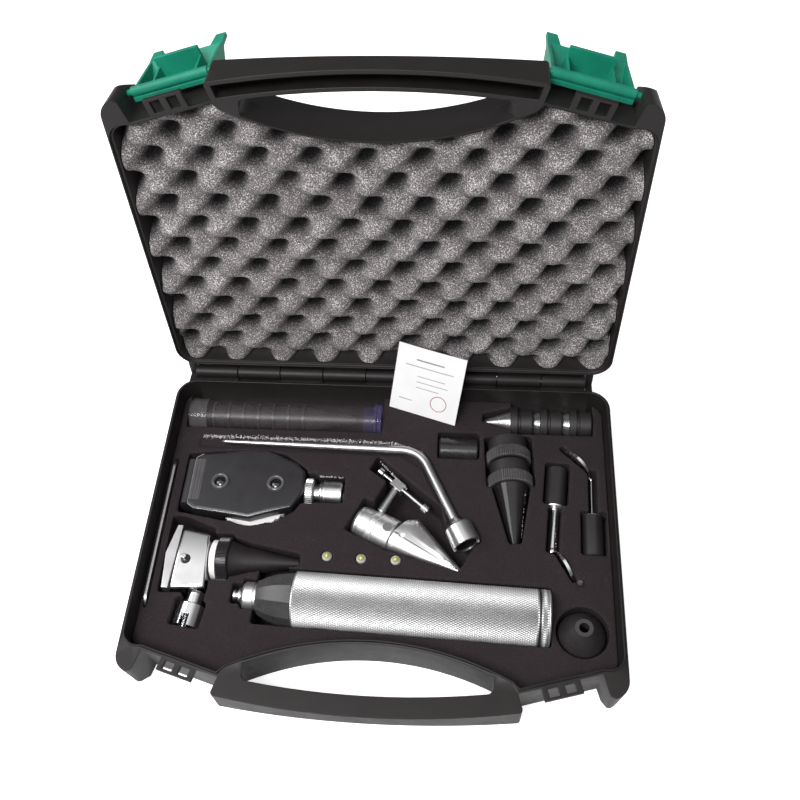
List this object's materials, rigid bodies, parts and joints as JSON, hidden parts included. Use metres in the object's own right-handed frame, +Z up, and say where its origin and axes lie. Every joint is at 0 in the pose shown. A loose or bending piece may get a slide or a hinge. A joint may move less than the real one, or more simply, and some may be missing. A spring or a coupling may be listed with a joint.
{
  "type": "otoscope carry case",
  "caption": "Hard plastic carry case, open, with die-cut foam holding a battery handle, otoscope and ophthalmoscope heads, specula, mirrors and spare lamps.",
  "frame": {"origin": "centre of the flat underside of the base half", "axes": "+Z up, +X along the hinge to the right when facing the carry handle side, +Y from the carry handle towards the hinge"},
  "size_m": [0.255, 0.2721, 0.2324],
  "materials": {
    "case_plastic": "fine moulded texture",
    "latch_plastic": "smooth translucent green",
    "foam": "open-cell foam",
    "pin_steel": "drawn",
    "chrome": "bright plated",
    "satin_metal": "satin plated",
    "knurled_metal": "diamond knurl",
    "dark_plastic": "polished",
    "head_plastic": "crackle black",
    "grip_rubber": "smooth",
    "clear_plastic": "clear, lightly smoked",
    "white_plastic": "smooth",
    "optical_glass": "polished",
    "lamp_glass": "warm",
    "cell_metal": "plain wrapper",
    "brass": "turned",
    "card_stock": "blank card"
  },
  "bodies": {
    "case_base": {"base_shell": "case_plastic", "base_foam": "foam", "base_pad": "foam", "hinge_pin": "pin_steel", "spare_lamps": "lamp_glass", "miniature_bulb": "lamp_glass"},
    "lid": {"lid_shell": "case_plastic", "lid_foam": "foam"},
    "latch_left": {"latch_left": "latch_plastic"},
    "latch_right": {"latch_right": "latch_plastic"},
    "battery_handle": {"handle_contact": "brass", "handle_collar": "chrome", "handle_spindle": "dark_plastic", "handle_tube": "knurled_metal", "battery_cell_front": "cell_metal", "battery_cell_rear": "cell_metal", "battery_spring": "pin_steel", "handle_seal_ring": "grip_rubber", "handle_end_cap": "knurled_metal"},
    "switch_ring": {"handle_switch_ring": "dark_plastic"},
    "specula_store": {"specula_tube": "clear_plastic", "specula_tube_cap": "clear_plastic", "specula_tube_plug": "clear_plastic", "tube_specula": "dark_plastic"},
    "bent_arm": {"arm_rod": "chrome", "arm_lamp_tip": "lamp_glass", "arm_socket": "satin_metal"},
    "ophthalmoscope": {"ophthalmoscope_body": "head_plastic", "brow_rest": "grip_rubber", "lens_wheel_axle": "pin_steel", "ophthalmoscope_windows": "optical_glass", "ophthalmoscope_ring": "satin_metal", "ophthalmoscope_socket": "chrome"},
    "dioptre_wheel": {"lens_wheel": "white_plastic"},
    "otoscope": {"otoscope_body": "chrome", "otoscope_stem": "chrome", "lens_holder_screw": "chrome", "otoscope_insulator": "white_plastic", "ear_speculum": "dark_plastic"},
    "magnifier": {"lens_holder": "head_plastic", "magnifier_lens": "optical_glass"},
    "clamp_ring": {"speculum_clamp_ring": "dark_plastic"},
    "nasal_speculum": {"nasal_barrel": "satin_metal", "nasal_lower_blade": "satin_metal", "blade_pivot": "pin_steel", "spreader_post": "satin_metal"},
    "nasal_blade": {"nasal_upper_blade": "satin_metal"},
    "opening_screw": {"spreader_screw": "chrome", "spreader_nut": "satin_metal"},
    "spare_bulb_case": {"bulb_case": "dark_plastic"},
    "large_specula": {"large_speculum_upper": "dark_plastic", "large_speculum_lower": "dark_plastic"},
    "specula_stack": {"nested_specula": "dark_plastic"},
    "mirror_a": {"mirror_a_grip": "grip_rubber", "mirror_a_disc": "chrome"},
    "mirror_b": {"mirror_b_grip": "grip_rubber", "mirror_b_disc": "chrome"},
    "ear_cup": {"rubber_cup": "grip_rubber"},
    "blade_depressor": {"tongue_blade": "chrome"},
    "note_card": {"card": "card_stock"}
  },
  "joints": [
    {"name": "lid_hinge", "type": "hinge", "parent": "case_base", "child": "lid", "pos_m": [0, 0.1, 0.034], "axis": [-1, 0, 0], "range_deg": [-96, 0]},
    {"name": "latch_right_hinge", "type": "hinge", "parent": "lid", "child": "latch_right", "pos_m": [0.09613, 0.13468, 0.21569], "axis": [-0.9608, 0.029, 0.2758], "range_deg": [-180, 0]},
    {"name": "latch_left_hinge", "type": "hinge", "parent": "lid", "child": "latch_left", "pos_m": [-0.09613, 0.13468, 0.21569], "axis": [-0.9608, -0.029, -0.2758], "range_deg": [-180, 0]},
    {"name": "handle_lift", "type": "slide", "parent": "case_base", "child": "battery_handle", "axis": [0, 0, 1], "range_m": [0, 0.06]},
    {"name": "switch_ring_turn", "type": "hinge", "parent": "battery_handle", "child": "switch_ring", "pos_m": [-0.0759, -0.036, 0.0203], "axis": [0.9996, -0.0297, 0], "range_deg": [0, 90]},
    {"name": "specula_store_lift", "type": "slide", "parent": "case_base", "child": "specula_store", "axis": [0, 0, 1], "range_m": [0, 0.06]},
    {"name": "bent_arm_lift", "type": "slide", "parent": "case_base", "child": "bent_arm", "axis": [0, 0, 1], "range_m": [0, 0.06]},
    {"name": "ophthalmoscope_lift", "type": "slide", "parent": "case_base", "child": "ophthalmoscope", "axis": [0, 0, 1], "range_m": [0, 0.06]},
    {"name": "dioptre_wheel_spin", "type": "hinge", "parent": "ophthalmoscope", "child": "dioptre_wheel", "pos_m": [-0.074, 0.027, 0.0175], "axis": [0, 0, 1], "continuous": true},
    {"name": "otoscope_lift", "type": "slide", "parent": "case_base", "child": "otoscope", "axis": [0, 0, 1], "range_m": [0, 0.06]},
    {"name": "magnifier_swing", "type": "hinge", "parent": "otoscope", "child": "magnifier", "pos_m": [-0.10828, -0.003, 0.0185], "axis": [-0.9986, 0.0521, 0], "range_deg": [0, 70]},
    {"name": "clamp_ring_turn", "type": "hinge", "parent": "otoscope", "child": "clamp_ring", "pos_m": [-0.0866, -0.0156, 0.0185], "axis": [1, 0, 0], "range_deg": [0, 60]},
    {"name": "nasal_speculum_lift", "type": "slide", "parent": "case_base", "child": "nasal_speculum", "axis": [0, 0, 1], "range_m": [0, 0.06]},
    {"name": "nasal_blade_open", "type": "hinge", "parent": "nasal_speculum", "child": "nasal_blade", "pos_m": [0.00392, 0.00461, 0.016], "axis": [0, 0, 1], "range_deg": [0, 10]},
    {"name": "opening_screw_turn", "type": "hinge", "parent": "nasal_speculum", "child": "opening_screw", "pos_m": [-0.00352, 0.0434, 0.02], "axis": [0.7632, -0.6462, 0], "range_deg": [0, 360]},
    {"name": "bulb_case_lift", "type": "slide", "parent": "case_base", "child": "spare_bulb_case", "axis": [0, 0, 1], "range_m": [0, 0.06]},
    {"name": "large_specula_lift", "type": "slide", "parent": "case_base", "child": "large_specula", "axis": [0, 0, 1], "range_m": [0, 0.06]},
    {"name": "specula_stack_lift", "type": "slide", "parent": "case_base", "child": "specula_stack", "axis": [0, 0, 1], "range_m": [0, 0.06]},
    {"name": "mirror_a_lift", "type": "slide", "parent": "case_base", "child": "mirror_a", "axis": [0, 0, 1], "range_m": [0, 0.06]},
    {"name": "mirror_b_lift", "type": "slide", "parent": "case_base", "child": "mirror_b", "axis": [0, 0, 1], "range_m": [0, 0.06]},
    {"name": "rubber_cup_lift", "type": "slide", "parent": "case_base", "child": "ear_cup", "axis": [0, 0, 1], "range_m": [0, 0.06]},
    {"name": "tongue_blade_lift", "type": "slide", "parent": "case_base", "child": "blade_depressor", "axis": [0, 0, 1], "range_m": [0, 0.06]},
    {"name": "card_fold", "type": "hinge", "parent": "case_base", "child": "note_card", "pos_m": [-0.0005, 0.085, 0.0248], "axis": [-0.9542, 0.299, 0], "range_deg": [-107, 0]}
  ],
  "couplings": [
    {"joint": "card_fold", "follows": "lid_hinge", "ratio": 1.1146},
    {"joint": "opening_screw_turn", "follows": "nasal_blade_open", "ratio": 36}
  ]
}
